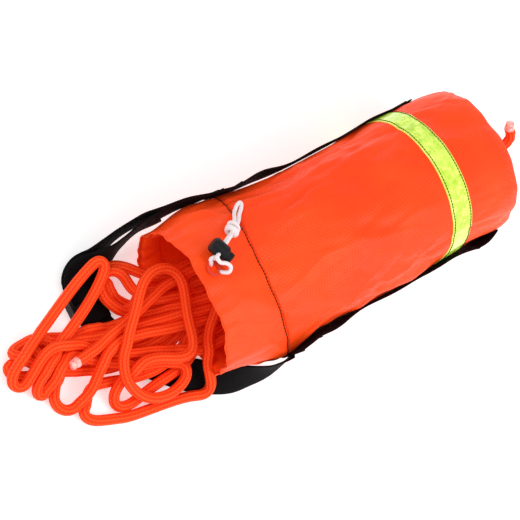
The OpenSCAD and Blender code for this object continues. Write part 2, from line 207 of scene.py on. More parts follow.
# ---- rope
# The spilled rope in order from the bag's inside to the free end, in millimetres
SPILLED_ROUTE = [
    # feed route
    (-34, 6, 6.5), (-52, 9, 6.5), (-75, 8, 6.5), (-100, 3, 8), (-116, -1, 10.4), (-125, -3, 10.6),
    (-142, -6, 10.4),
    # floor run
    (-160, -8, 5), (-182, -6, 4.5), (-205, 2, 4.5), (-228, 10, 4.5), (-246, 15, 4.5),
    # far turn
    (-260, 19, 4.5), (-268, 17, 4.5), (-270, 11, 5), (-264, 6, 6), (-252, 3, 6), (-238, 0, 5),
    # back run
    (-222, -6, 5), (-206, -14, 5), (-186, -20, 5), (-164, -22, 5), (-142, -20, 5.5),
    # inner turn 1
    (-120, -17, 7), (-100, -14, 9), (-90, -6, 14), (-88, 4, 15.5), (-94, 14, 13), (-106, 19, 8),
    (-124, 20, 5.5), (-142, 20, 6),
    # ring loop
    (-156, 17, 5), (-165.5, 14, 8), (-172, 17, 13.5), (-178, 26, 14), (-179, 35, 14),
    (-176, 42, 14.5), (-170, 46, 16), (-163, 44, 20), (-160, 37, 21), (-159, 28, 19),
    # inner turn 2
    (-154, 19, 18), (-144, 12, 15), (-126, 6, 13.5), (-106, 4, 15), (-92, 8, 19), (-86, 16, 18),
    (-92, 24, 13), (-108, 27, 10), (-126, 28, 10), (-138, 31, 14),
    # outer ring
    (-147, 36, 18), (-154, 43, 19), (-161, 48, 15), (-169, 49, 10), (-174, 42, 11), (-174, 33, 11),
    (-167, 25, 6), (-159, 17, 4.5), (-146, 12, 4.5), (-130, 9, 5),
    # inner turn 3
    (-114, 10, 8), (-100, 8, 20), (-92, 2, 27), (-98, -6, 28), (-112, -6, 24),
    # mid fan
    (-126, 0, 20), (-138, 5, 14), (-150, 8, 7), (-166, 9, 5), (-184, 8, 5), (-202, 10, 5),
    (-220, 16, 5), (-236, 20, 5), (-246, 18, 6), (-250, 11, 8), (-244, 5, 9), (-228, 2, 9),
    (-210, -3, 9), (-190, -8, 9), (-172, -12, 9), (-156, -14, 9), (-142, -13, 11), (-126, -8, 15),
    (-110, -4, 20), (-98, -8, 24), (-100, -14, 25), (-112, -9, 24),
    # low fan
    (-133, -6, 20), (-151, -2, 19), (-167, 1, 17), (-184, 4, 14), (-202, 8, 12), (-220, 13, 10),
    (-236, 19, 8),
    # near turn
    (-248, 24, 6.5), (-258, 26, 6), (-264, 22, 8), (-261, 16, 12), (-252, 12, 13.5), (-243, 4, 12),
    # front loop
    (-236, -3, 9), (-242, -8, 6), (-247, -16, 5), (-247, -25, 4.5), (-240, -31, 5), (-230, -30, 8),
    (-221, -25, 13), (-213, -17, 17), (-206, -9, 19),
    # front exit
    (-196, -3, 21), (-184, -2, 22), (-168, -5, 23), (-150, -10, 23), (-130, -13, 22),
    # inner turn 4
    (-112, -15, 22), (-98, -19, 22), (-92, -27, 20), (-98, -35, 17), (-112, -36, 14),
    (-128, -31, 13),
    # second fan
    (-146, -26, 12), (-166, -19, 12), (-184, -12, 12), (-200, -3, 12), (-212, 6, 14),
    # left hook
    (-224, 12, 18), (-237, 14, 20.5), (-249, 10, 19.5), (-259, 4, 15), (-266, -2, 8), (-272, 2, 6),
    (-273, 9, 11), (-266, 15, 16),
    # long loop
    (-256, 20, 16), (-244, 25, 16), (-228, 33, 16), (-212, 41, 18), (-198, 48, 21), (-184, 54, 25),
    (-176, 56, 27), (-173, 51, 27), (-180, 43, 24.5), (-190, 35, 21), (-201, 28, 18),
    (-213, 22, 17), (-228, 15, 16), (-242, 10, 16),
    # right hook
    (-250, 3, 13), (-257, -5, 8), (-258, -11, 4.5), (-251, -13, 4.5), (-245, -8, 9), (-241, 0, 16),
    (-233, 5, 20), (-222, 4, 19), (-212, -1, 14),
    # cross strand
    (-204, -9, 12), (-192, -17, 12), (-178, -24, 12), (-160, -31, 13), (-147, -36, 15.5),
    # top loop
    (-145, -41, 16), (-147, -47, 14.5), (-154, -51, 13), (-165, -53, 12.5), (-178, -51, 13),
    (-189, -44, 15), (-196, -32, 19), (-195, -17, 24), (-189, -7, 28), (-181, 2, 31),
    (-172, 11, 33), (-164, 21, 35), (-157, 28, 36), (-148, 32, 37), (-138, 31, 38), (-130, 25, 38),
    (-128, 15, 37), (-132, 3, 36), (-136, -8, 35), (-138, -19, 34), (-140, -29, 32),
    (-145, -34, 30), (-155, -32, 28), (-167, -25, 25),
    # small loop
    (-179, -22, 21), (-190, -24, 16), (-199, -29, 11), (-205, -36, 7), (-206, -43, 5),
    (-200, -47, 5), (-190, -46, 4.5), (-176, -43, 4.5), (-160, -41, 4.5), (-144, -42, 5),
    # inner turn 5
    (-126, -42, 7), (-110, -38, 9), (-98, -30, 10), (-96, -21, 11), (-106, -17, 11), (-122, -24, 7),
    # lower strand
    (-140, -30, 5), (-160, -32, 4.5), (-182, -31, 4.5), (-202, -25, 4.5), (-216, -22, 5),
    (-226, -29, 4.5), (-232, -37, 4.5), (-228, -44, 4.5), (-218, -48, 4.5), (-208, -51, 4.5),
    (-197, -54, 4.5), (-180, -56, 4.5), (-162, -58, 4.5), (-146, -61, 4.5), (-136, -65, 5),
    # side strand
    (-131, -64, 6), (-130, -60, 13), (-131, -52, 18), (-131, -43, 21), (-128, -33, 24),
    (-122, -25, 27), (-115, -18, 30),
    # inner turn 6
    (-106, -10, 31), (-97, -1, 32), (-94, 9, 31), (-100, 18, 29.5), (-112, 20, 28.5),
    # free end
    (-128, 19, 27), (-138, 19, 27), (-150, 16, 26), (-164, 11, 24), (-178, 7, 22), (-190, 3, 20.5),
    (-202, 1, 20), (-212, 0, 20), (-221, -1, 20.5), (-227, -1, 22.5)]
# From the sealed tail behind the base in through the grommet
TAIL_ROUTE = [(180.5, 9.5, 63.5), (183, 3.5, 57.5), (176, -0.5, 52), (161, 0, 50.5), (139, 0, 50.25)]

COIL_MID_Z = 49.0
COIL_RADII = (16, 25, 34, 43)
COIL_TURNS = 14
COIL_NEAR = -22.0
COIL_FAR = 100.0
COIL_STEPS = 16
COIL_STEP = 5.0
ROPE_STEP = 1.5


def coil_route():
    """Four layers of turns stored in the bag, each layer wound over the one before."""
    z = COIL_MID_Z
    points = TAIL_ROUTE + [(125, 0, z), (108, 0, z), (60, 0, z), (10, 0, z),
                           (-12, -1, z - 1), (-22, 4, z - 7), (-25, 12, z - 7)]
    angle = 0.0
    ends = (COIL_NEAR, COIL_FAR)
    for layer, radius in enumerate(COIL_RADII):
        start, stop = ends[layer % 2], ends[1 - layer % 2]
        steps = COIL_TURNS * COIL_STEPS
        for k in range(steps + 1):
            a = angle + 2 * math.pi * COIL_TURNS * k / steps
            x = start + (stop - start) * k / steps
            points.append((x, radius * math.cos(a), COIL_MID_Z + radius * math.sin(a)))
        angle += 2 * math.pi * COIL_TURNS + math.pi / 2
    return points


# What the spilled rope rests on, in millimetres
FLOOR_REST = 0.2
STRAP_REST = 4.2
DOUBLED_REST = 6.2
DOUBLED_FROM_Y = 12
SLIDER_REST = 8.6
SLIDER_PLACE = (-188, 36)
SLIDER_ROOM = (17, 12)
HEM_REST = 5.6
FABRIC_REST = 1.6
FLAT_TILT = 20
RIM_ROOM = 3
LIP_SETBACK = 13


def resting_height(p):
    """Height that the rope lies on: the floor, the webbing, the slider or the bag's own fabric."""
    height = np.full(len(p), FLOOR_REST)
    flat = np.array([q[:2] for q in STRAP_PATH if abs(q[3]) < FLAT_TILT], float)
    flat = resample(flat, 3)
    near = np.min(np.linalg.norm(p[:, None, :2] - flat[None], axis=2), axis=1)
    over_strap = near < WEB_W / 2 + 1
    height[over_strap] = STRAP_REST
    height[over_strap & (p[:, 1] > DOUBLED_FROM_Y)] = DOUBLED_REST
    from_slider = np.abs(p[:, :2] - SLIDER_PLACE)
    height[(from_slider < SLIDER_ROOM).all(axis=1)] = SLIDER_REST
    rim = lip_edge(p)
    hem_end = MOUTH_X + HEM_LEN + RIM_ROOM
    height[(p[:, 0] > rim - RIM_ROOM) & (p[:, 0] < hem_end)] = HEM_REST
    height[(p[:, 0] >= hem_end) & (p[:, 0] > rim)] = FABRIC_REST
    return height


def lip_edge(p):
    """Where the mouth's rim lies along the bag: it is set back at the lower right."""
    return MOUTH_X + LIP_SETBACK * np.clip((-p[:, 1] - 8) / 30, 0, 1)


# Half width and half height of the mouth, its middle height and the room kept from its walls
MOUTH_W = 57.5
MOUTH_H = 40.0
MOUTH_MID_Z = 39.3
WALL_ROOM = 6.0
OUTSIDE_Y = -58


def keep_in_mouth(p):
    """Moves the rope in from the collar's walls; the strand beyond OUTSIDE_Y lies outside them."""
    inside = (p[:, 0] > lip_edge(p) + 2) & (p[:, 1] > OUTSIDE_Y)
    w, h = MOUTH_W - WALL_ROOM - ROPE_R, MOUTH_H - WALL_ROOM - ROPE_R
    e = np.sqrt((p[:, 1] / w) ** 2 + ((p[:, 2] - MOUTH_MID_Z) / h) ** 2)
    out = inside & (e > 1)
    p[out, 1] /= e[out]
    p[out, 2] = MOUTH_MID_Z + (p[out, 2] - MOUTH_MID_Z) / e[out]


# How the rope is laid down: counts, then shares and distances in millimetres a round
SETTLE_ROUNDS = 420
SETTLE_STEP = 4.0
NEIGHBOURS = 6
SEARCH_EVERY = 6
SEARCH_ROOM = 5
FIXED_START = 8
SINK = 0.03
SINK_SHARE = 0.8
HOLD_PLACE = 0.015
HOLD_HEIGHT = 0.01
STRAIGHTEN = 0.10
PUSH_SHARE = 0.42
PUSH_NEAR = 0.4
PUSH_MOST = 0.7


def settle(route):
    """Lays the rope down: strands push each other apart, sink until held and keep their length."""
    p = spline(route, SETTLE_STEP)
    home = p.copy()
    rest = np.linalg.norm(np.diff(p, axis=0), axis=1)
    index = np.arange(len(p))
    apart = (index[None] - index[:, None]) >= NEIGHBOURS
    gap = 2 * ROPE_R + 0.1
    free = np.ones(len(p))
    free[:FIXED_START] = 0
    for k in range(SETTLE_ROUNDS):
        if k % SEARCH_EVERY == 0:
            far = np.linalg.norm(p[:, None] - p[None], axis=2)
            first, second = np.nonzero(apart & (far < gap + SEARCH_ROOM))
            base = resting_height(p) + ROPE_R
        if k < SETTLE_ROUNDS * SINK_SHARE:
            p[:, 2] -= SINK * free
        p[:, :2] += HOLD_PLACE * (home[:, :2] - p[:, :2])
        p[:, 2] += HOLD_HEIGHT * (home[:, 2] - p[:, 2])
        bend = np.zeros_like(p)
        bend[1:-1] = (p[:-2] + p[2:]) / 2 - p[1:-1]
        p += STRAIGHTEN * bend * free[:, None]
        away = p[first] - p[second]
        dist = np.linalg.norm(away, axis=1)
        push = np.clip(gap - dist, 0, 1.0) / np.maximum(dist, PUSH_NEAR) * PUSH_SHARE
        shift = np.zeros_like(p)
        np.add.at(shift, first, push[:, None] * away)
        np.add.at(shift, second, -push[:, None] * away)
        size = np.linalg.norm(shift, axis=1, keepdims=True)
        p += shift * np.minimum(1, PUSH_MOST / np.maximum(size, 1e-9)) * free[:, None]
        for _ in range(2):
            edge = np.diff(p, axis=0)
            size = np.linalg.norm(edge, axis=1)
            fix = edge * (0.5 * (size - rest) / np.maximum(size, 1e-6))[:, None]
            p[:-1] += fix * free[:-1, None]
            p[1:] -= fix * free[1:, None]
        keep_in_mouth(p)
        p[:, 2] = np.maximum(p[:, 2], np.where(free > 0, base, p[:, 2]))
    return p


def make_rope():
    """The whole throwing rope in one piece, from the base grommet to its sealed free end."""
    inside = spline(coil_route(), COIL_STEP)
    spilled = settle(SPILLED_ROUTE)
    spilled = spline(spilled, ROPE_STEP)
    path = np.vstack([inside, spilled])
    material = rope_material()
    rope = tube_object("throw_rope", path, ROPE_R, ROPE_SIDES, material)
    seal = seal_object("rope_seal", path[-1], unit(path[-1] - path[-4]))
    cap = seal_object("rope_tail_seal", path[0], unit(path[0] - path[3]))
    wraps = spline(knot_wraps(), ROPE_STEP)
    knot = tube_object("rope_stopper_knot", wraps, ROPE_R, ROPE_SIDES, material)
    for piece in (rope, seal, cap, knot):
        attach(piece, "bag")
    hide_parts("rope_coil", "rope_feed", "rope_heap", "rope_top_loop", "rope_long_loop",
                "rope_ring_loop", "rope_front_loop", "rope_side_strand", "rope_free_end", "rope_tail")
    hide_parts("rope_end_seal")
    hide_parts("tail_seal")
    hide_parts("stopper_knot")


SEAL_FROM = -0.8
SEAL_TO = 6
SEAL_RADII = (4.0, 4.1, 4.1, 4.0, 3.8, 3.65, 3.6, 3.6, 3.6, 3.5, 3.2, 2.5)
SEAL_SIDES = 24


def seal_object(name, end, direction):
    """Melted and taped rope end that grips the rope and narrows to its tip."""
    path = np.array([end + direction * d for d in np.linspace(SEAL_FROM, SEAL_TO, len(SEAL_RADII))])
    return tube_object(name, path, SEAL_RADII, SEAL_SIDES, seal_material())


STOPPER_X = 151.5
STOPPER_LEN = 8.6
STOPPER_TURNS = 2.1
STOPPER_STEPS = 40


def knot_wraps():
    """Two wraps of the stopper knot round the rope behind the grommet."""
    points = []
    for k in range(STOPPER_STEPS + 1):
        t = k / STOPPER_STEPS
        a = 2 * math.pi * STOPPER_TURNS * t
        r = 2 * ROPE_R - 5.0 * abs(2 * t - 1) ** 6
        x = STOPPER_X + STOPPER_LEN * t
        points.append((x, r * math.cos(a), GROMMET_Z + r * math.sin(a)))
    return points


# ---- webbing
# The handle's path from one side of the bag to the other, as x, y, z and tilt in degrees
STRAP_PATH = [(-80.2, 62.8, 47, 90), (-86, 63.2, 46.5, 90), (-103, 66, 42, 82), (-120, 67, 35, 77),
              (-135, 68.5, 27, 78), (-150, 67, 19.5, 74), (-162, 63.5, 15.5, 64),
              (-173, 59, 11.5, 46), (-183.5, 55, 7.2, 18), (-187.8, 50, 3.9, 2), (-188, 44, 3.2, 0),
              (-188, 30, 3.2, 0), (-188, 17, 3.2, 0), (-184, 5, 3.2, 0), (-174, -11, 3.2, 0),
              (-161, -28, 3.2, 0), (-148, -40, 3.2, 0), (-136, -49, 4.4, -12),
              (-124, -57, 7.6, -28), (-112, -64, 12, -46), (-100, -67.5, 18, -62),
              (-90, -69.5, 27, -76), (-82, -69.5, 35, -84), (-74, -68.4, 41, -90)]
# The doubled end lies this far off the strap, from point TAIL_FIRST of its path on
TAIL_FIRST = 3
TAIL_OFFSET = (2.6, 4.5, 7, 8, 6.8, 5.2, 3.6, 2.4, 1.9, 1.9)
WEB_Z = 48.0


def ribbon_frames(path):
    """Width and face directions of webbing along a path of x, y, z and tilt."""
    p = path[:, :3]
    t = unit(np.gradient(p, axis=0))
    side = unit(np.cross(t, [0, 0, 1.0]))
    up = np.cross(side, t)
    tilt = np.radians(path[:, 3])[:, None]
    width = np.cos(tilt) * side + np.sin(tilt) * up
    return width, np.cross(width, t)


def ribbon_object(name, path, material):
    """Webbing with rounded selvedges along a path of x, y, z and tilt."""
    width, face = ribbon_frames(path)
    across = np.linspace(-1, 1, 13)
    top = [(a * WEB_W / 2, WEB_T / 2 * (1 - 0.55 * abs(a) ** 14)) for a in across]
    outline = top + [(a, -b) for a, b in top[::-1]]
    outline.append(outline[0])
    points = np.array([[path[i, :3] + w * width[i] + h * face[i] for w, h in outline]
                       for i in range(len(path))])
    s = lengths(path)
    run = np.array([w + (WEB_W + 4 if h < 0 else 0) for w, h in outline])
    uv = np.stack(np.broadcast_arrays(run[None, :], s[:, None]), axis=-1)
    cols = len(outline)
    flat = points.reshape(-1, 3)
    faces = grid_faces(len(path), cols)
    last = (len(path) - 1) * cols
    faces.append(tuple(range(cols - 1))[::-1])
    faces.append(tuple(last + k for k in range(cols - 1)))
    piece = mesh_object(name, flat, faces, uv.reshape(-1, 2), material)
    weld(piece)
    return piece


def make_webbing():
    """Handle loop, its doubled end, and the strips sewn along the bag's sides."""
    material = webbing_material()
    strap = spline(STRAP_PATH, WEB_STEP)
    piece = ribbon_object("handle_webbing", strap, material)
    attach(piece, "bag")
    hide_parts("handle_strap")
    _, face = ribbon_frames(np.array(STRAP_PATH, float))
    tail = []
    for k, offset in enumerate(TAIL_OFFSET):
        i = TAIL_FIRST + k
        centre = np.array(STRAP_PATH[i][:3]) + offset * face[i]
        tail.append((*centre, STRAP_PATH[i][3]))
    piece = ribbon_object("handle_webbing_tail", spline(tail, WEB_STEP), material)
    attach(piece, "bag")
    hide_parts("strap_tail")
    for side, node in ((1, "side_webbing_left"), (-1, "side_webbing_right")):
        strip = side_strip(side)
        piece = ribbon_object(node + "_strip", strip, material)
        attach(piece, "bag")
        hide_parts(node)
        tack_webbing(strip, side)
    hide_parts("strap_bar_tacks")


STRIP_FROM = -80
LEFT_STRIP_TO = 115
RIGHT_STRIP_TO = 131
STRIP_CLEAR = 1.3


def swell(x, middle, spread):
    """Smooth hump of height one round a place along the bag."""
    return math.exp(-((x - middle) / spread) ** 2)


def side_strip(side):
    """Path of the webbing along one side of the bag, leaning out at its lower edge in places."""
    table = LEFT_REACH if side > 0 else RIGHT_REACH
    knots = []
    for x in np.arange(STRIP_FROM, LEFT_STRIP_TO if side > 0 else RIGHT_STRIP_TO, 3.0):
        reach = float(smooth_table(table, x))
        if side > 0:
            bridge = 1.8 * swell(x, -38, 20)
            lean = 1.5 + 5 * swell(x, -38, 16)
        else:
            bridge = 0.4 * swell(x, -38, 20) + 1.0 * swell(x, -76, 12)
            lean = 3 + 8 * swell(x, -40, 24) + 10 * swell(x, 112, 20)
            reach -= 3.2 * max(0.0, (x - 104) / 24) ** 2
        lean += 1.2 * math.sin(x / 9.0)
        stand = STRIP_CLEAR + bridge + WEB_W / 2 * math.sin(math.radians(max(lean, 0))) * 0.8
        z = WEB_Z - 1.0 + 0.8 * math.sin(x / 31)
        knots.append((x, side * (reach + stand), z, side * (90 + lean)))
    return spline(knots, WEB_STEP)


def add_thread(points, faces, run, radius):
    """Adds a closed length of thread along a path to a mesh's points and faces."""
    ring = tube_points(run, radius, THREAD_SIDES)
    first = len(points)
    last = first + (len(run) - 1) * THREAD_SIDES
    points.extend(ring.reshape(-1, 3))
    faces += grid_faces(len(run), THREAD_SIDES, wrap=True, flip=True, start=first)
    faces.append(tuple(first + j for j in range(THREAD_SIDES)))
    faces.append(tuple(last + j for j in range(THREAD_SIDES))[::-1])


TACKS_AT = (-75, -57, 108)
TACK_TURNS = 22
TACK_SWING = 1.3
TACK_MARGIN = 4
TACK_R = 0.33


def tack_webbing(strip, side):
    """Zigzag bar tacks sewn across the webbing at its ends."""
    width, face = ribbon_frames(strip)
    points, faces = [], []
    for x in TACKS_AT:
        i = int(np.argmin(np.abs(strip[:, 0] - x)))
        out = face[i] if face[i][1] * side > 0 else -face[i]
        zig = []
        for k in range(TACK_TURNS * 4 + 1):
            t = k / (TACK_TURNS * 4)
            swing = TACK_SWING * (2 / math.pi) * math.asin(math.sin(math.pi * TACK_TURNS * t))
            place = strip[i, :3] + width[i] * (t - 0.5) * (WEB_W - TACK_MARGIN)
            zig.append(place + np.array([swing, 0, 0]) + out * (WEB_T / 2 + 0.3))
        add_thread(points, faces, np.array(zig), TACK_R)
    name = "bar_tacks_left" if side > 0 else "bar_tacks_right"
    piece = mesh_object(name, np.array(points), faces, None, thread_material("bar_tack"))
    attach(piece, "bag")


# ---- bag fabric
RINGS_COLLAR = 36
RINGS_BODY = 112
ROUND = 224

# How far the bag reaches to each side, and how high it stands, at places along it
LEFT_REACH = ((-140, 57), (-131, 57), (-120, 60), (-110, 62.5), (-100, 63.4), (-90, 62.2),
              (-80, 61), (-65, 58.2), (-45, 56.2), (-30, 55.6), (0, 56.6), (42, 58.2), (70, 60),
              (120, 60.5), (136, 59), (142, 57))
RIGHT_REACH = ((-140, 55), (-126, 56.5), (-110, 59), (-95, 62), (-80, 64.5), (-66, 62.5),
               (-55, 59.5), (-28, 57.5), (0, 58), (30, 58.5), (55, 57.8), (80, 55.8), (120, 55.2),
               (136, 55), (142, 53.5))
TOP_AT = ((-140, 80), (-118, 80), (-98, 77), (-84, 74), (-66, 79), (-44, 90), (-16, 98), (30, 101),
          (90, 102), (122, 101.5), (136, 100), (142, 97.5))


TABLE_PARTS = 400
TABLE_BLUR = 11


def smooth_table(table, x):
    """Smooth curve through a short table of pairs."""
    xs = np.array([a for a, _ in table], float)
    ys = np.array([b for _, b in table], float)
    fine = np.linspace(xs[0], xs[-1], TABLE_PARTS)
    rough = np.interp(fine, xs, ys)
    kernel = np.hanning(2 * TABLE_BLUR + 1)
    padded = np.concatenate([np.full(TABLE_BLUR, rough[0]), rough, np.full(TABLE_BLUR, rough[-1])])
    soft = np.convolve(padded, kernel / kernel.sum(), mode="valid")
    return np.interp(x, fine, soft)


def bag_skin(x, a):
    """Point of the smooth bag at a place along it and an angle round it, 90 degrees on top."""
    top = smooth_table(TOP_AT, x)
    mid = 0.48 * top
    c, s = np.cos(a), np.sin(a)
    reach = np.where(c >= 0, smooth_table(LEFT_REACH, x), smooth_table(RIGHT_REACH, x))
    y = reach * np.sign(c) * np.abs(c) ** 0.94
    up = mid + (top - mid) * np.abs(s) ** 0.97
    low = mid - (mid + 1.5) * np.abs(s) ** 0.93
    low = 0.7 + np.log1p(np.exp((low - 0.7) * 1.2)) / 1.2
    return np.stack([x, y, np.where(s >= 0, up, low)], axis=-1)


def wrinkles(x, arc, seed, count, size, long_way, box):
    """Sum of soft ridges and valleys with random places, lengths and turns."""
    rng = np.random.default_rng(seed)
    out = np.zeros_like(x)
    for _ in range(count):
        x0 = rng.uniform(box[0], box[1])
        a0 = rng.uniform(box[2], box[3])
        turn = long_way + rng.normal(0, 0.35)
        along = rng.uniform(14, 42)
        across = rng.uniform(2.2, 5.5)
        high = rng.uniform(-1, 1) * size
        dx, da = x - x0, arc - a0
        u = dx * math.cos(turn) + da * math.sin(turn)
        v = -dx * math.sin(turn) + da * math.cos(turn)
        v = v + 2.5 * np.sin(u / along * 2.2)
        out += high * np.exp(-((u / along) ** 2)) * np.exp(-((v / across) ** 2))
    return out


def bag_grid():
    """Grid of points over the whole bag, from the mouth's rim to the base's rim."""
    a = np.linspace(0, 2 * math.pi, ROUND, endpoint=False)
    top_pull = np.clip(np.sin(a), 0, 1)
    low_right = np.clip(np.cos(a - math.radians(238)), 0, 1)
    rim_x = MOUTH_X + 1.0 + 0.8 * np.sin(3 * a + 0.6) + 0.9 * np.sin(7 * a) + 13 * low_right**2
    seam_x = -76.5 - 9.5 * top_pull**1.5 + 1.5 * np.cos(a)
    rows = []
    for k in range(RINGS_COLLAR + 1):
        rows.append(rim_x + (seam_x - rim_x) * k / RINGS_COLLAR)
    for k in range(1, RINGS_BODY + 1):
        rows.append(seam_x + (BASE_X - seam_x) * k / RINGS_BODY)
    x = np.array(rows)
    angle = np.broadcast_to(a, x.shape)
    points = bag_skin(x, angle)
    return points, x, angle


def surface_normals(points):
    """Outward directions of a grid that runs right round the bag."""
    du = np.gradient(points, axis=0)
    dv = (np.roll(points, -1, axis=1) - np.roll(points, 1, axis=1)) / 2
    return unit(np.cross(dv, du))


MEAN_RADIUS = 57.0
LEAST_Z = 0.5


def shape_bag():
    """The bag's grid with its folds, gathers and puckers."""
    points, x, a = bag_grid()
    normal = surface_normals(points)
    arc = a * MEAN_RADIUS
    lift = wrinkles(x, arc, 11, 70, 1.1, 0.15, (-70, 135, 0, 200))
    lift += wrinkles(x, arc, 12, 34, 1.8, 0.0, (-100, -20, 0, 190))
    lift += wrinkles(x, arc, 13, 40, 1.3, 0.1, (-60, 130, 5, 40))
    lift += wrinkles(x, arc, 14, 40, 1.3, -0.1, (-60, 130, 140, 175))
    lift += wrinkles(x, arc, 15, 26, 1.5, 0.5, (-138, -84, 0, 190))
    lift += wrinkles(x / 2.6, arc / 2.6, 16, 22, 1.9, 0.25, (-26, 50, 0, 75))
    rng = np.random.default_rng(5)
    phase = rng.uniform(0, 6.28, 6)
    gather = (np.sin(19 * a + phase[0] + 1.3 * np.sin(2 * a)) * 0.6 + np.sin(31 * a + phase[1]) * 0.35
              + np.sin(11 * a + phase[2]) * 0.7)
    from_rim = x - MOUTH_X
    lift += 1.1 * gather * np.exp(-((from_rim / 16) ** 2))
    seam_row = x[RINGS_COLLAR]
    from_seam = x - seam_row[None]
    pucker = np.sin(37 * a + phase[3] + np.sin(5 * a)) * 0.5 + np.sin(23 * a + phase[4]) * 0.5
    lift += 0.45 * pucker * np.exp(-((from_seam / 9) ** 2)) * (1 - np.exp(-((from_seam / 3) ** 2)))
    lift -= 0.8 * np.exp(-((from_seam / 2.0) ** 2))
    base_pucker = np.sin(17 * a + phase[5]) * 0.5 + np.sin(9 * a) * 0.6
    lift += 0.5 * base_pucker * np.exp(-(((x - BASE_X) / 12) ** 2))
    band_mid = (BAND[0] + BAND[1]) / 2
    band_calm = 1 - 0.75 * np.exp(-(((x - band_mid) / 16) ** 4))
    lift *= band_calm
    resting = np.clip(points[..., 2] / 6, 0, 1)
    points = points + normal * (lift * resting)[..., None]
    points[..., 2] = np.maximum(points[..., 2], LEAST_Z)
    return points


def shell_object(name, grid, thickness, material, uv):
    """Closed shell from a grid that runs right round the bag, with its inside face."""
    normal = surface_normals(grid)
    inner = grid - normal * thickness
    rows, cols = grid.shape[:2]
    outer_wrap = np.concatenate([grid, grid[:, :1]], axis=1)
    inner_wrap = np.concatenate([inner, inner[:, :1]], axis=1)
    points = np.vstack([outer_wrap.reshape(-1, 3), inner_wrap.reshape(-1, 3)])
    cols += 1
    count = rows * cols
    faces = grid_faces(rows, cols, flip=True)
    faces += grid_faces(rows, cols, start=count)
    for j in range(cols - 1):
        faces.append((j, j + 1, count + j + 1, count + j))
        k = (rows - 1) * cols + j
        faces.append((k + 1, k, count + k, count + k + 1))
    piece = mesh_object(name, points, faces, np.vstack([uv, uv]), material)
    weld(piece)
    return piece


def grid_uv(grid):
    """Flat pattern coordinates of a grid, in millimetres along the bag and round it."""
    rows, cols = grid.shape[:2]
    step = np.linalg.norm(np.diff(grid, axis=0), axis=2).mean(axis=1)
    along = np.concatenate([[0], np.cumsum(step)]) + grid[0, :, 0].mean()
    around = np.arange(cols + 1) / cols * UV_ROUND
    return np.stack(np.meshgrid(around, along), axis=-1).reshape(-1, 2)


def make_bag(grid):
    """Collar and body panels, with the hem and the base."""
    fabric = fabric_material()
    collar_grid = grid[: RINGS_COLLAR + 1]
    body_grid = grid[RINGS_COLLAR:]
    collar = shell_object("collar_fabric", collar_grid, FABRIC_T, fabric,
                          grid_uv(collar_grid))
    body = shell_object("body_fabric", body_grid, FABRIC_T, fabric,
                        grid_uv(body_grid))
    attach(collar, "bag")
    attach(body, "bag")
    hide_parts("collar_panel")
    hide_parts("body_panel")
    make_hem(grid, fabric)
    make_base(grid, fabric)


HEM_ROWS = 13
ROLL_ROWS = 5


def make_hem(grid, fabric):
    """Inner fold of the mouth round the drawcord, rolled over the rim."""
    outer = grid[:HEM_ROWS]
    normal = surface_normals(grid)[:HEM_ROWS]
    t = np.linspace(0, 1, HEM_ROWS)
    depth = 1.1 + 3.2 * np.sin(math.pi * t) ** 0.5
    fold = outer - normal * depth[:, None, None]
    lip_normal = normal[0]
    centre = outer[0] - lip_normal * 0.6
    roll = []
    for k in range(ROLL_ROWS):
        b = math.pi * k / (ROLL_ROWS - 1)
        roll.append(centre + lip_normal * 0.65 * math.cos(b) + np.array([-0.9 * math.sin(b), 0, 0]))
    sheet = np.concatenate([np.array(roll), fold], axis=0)
    piece = shell_object("mouth_hem_fold", sheet[:, ::-1], HEM_T, fabric,
                         grid_uv(sheet))
    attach(piece, "bag")
    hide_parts("mouth_hem")
    middle = outer[HEM_ROWS // 2] - normal[HEM_ROWS // 2] * 2.4
    path = resample(middle, 1.5)
    ring = tube_object("drawcord_in_hem", path, HEM_CORD_R, 12, cord_material())
    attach(ring, "bag")
    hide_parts("drawcord_ring")


BASE_MID_Z = 50.3
BASE_PARTS = 25
DOME = 3.4
DRAWN_IN = 1.6


def make_base(grid, fabric):
    """Round end panel, slightly domed and drawn in round the grommet."""
    rim = grid[-1]
    centre = np.array([BASE_X, 0, BASE_MID_Z])
    rows = []
    for k in range(BASE_PARTS + 1):
        t = k / BASE_PARTS
        ring = rim + (centre - rim) * t * 0.9
        dome = DOME * math.sin(math.pi * min(1, t * 1.15) * 0.5)
        ring[:, 0] += dome - DRAWN_IN * max(0, t - 0.75) * 4
        rows.append(ring)
    sheet = np.array(rows)
    piece = shell_object("base_fabric", sheet, FABRIC_T, fabric,
                         grid_uv(sheet) + [0, 400])
    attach(piece, "bag")
    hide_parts("base_panel")


def rows_at(grid, xs):
    """Rings of the bag's surface at given places along it."""
    out = np.zeros((len(xs), grid.shape[1], 3))
    for j in range(grid.shape[1]):
        column = grid[:, j]
        order = column[:, 0]
        for k in (1, 2):
            out[:, j, k] = np.interp(xs, order, column[:, k])
        out[:, j, 0] = xs
    return out


BAND_ROWS = 17
BAND_STITCH = (2.4, 0.34)
SEAM_STITCH = (2.6, 0.38)
STITCH_INSET = 1.8


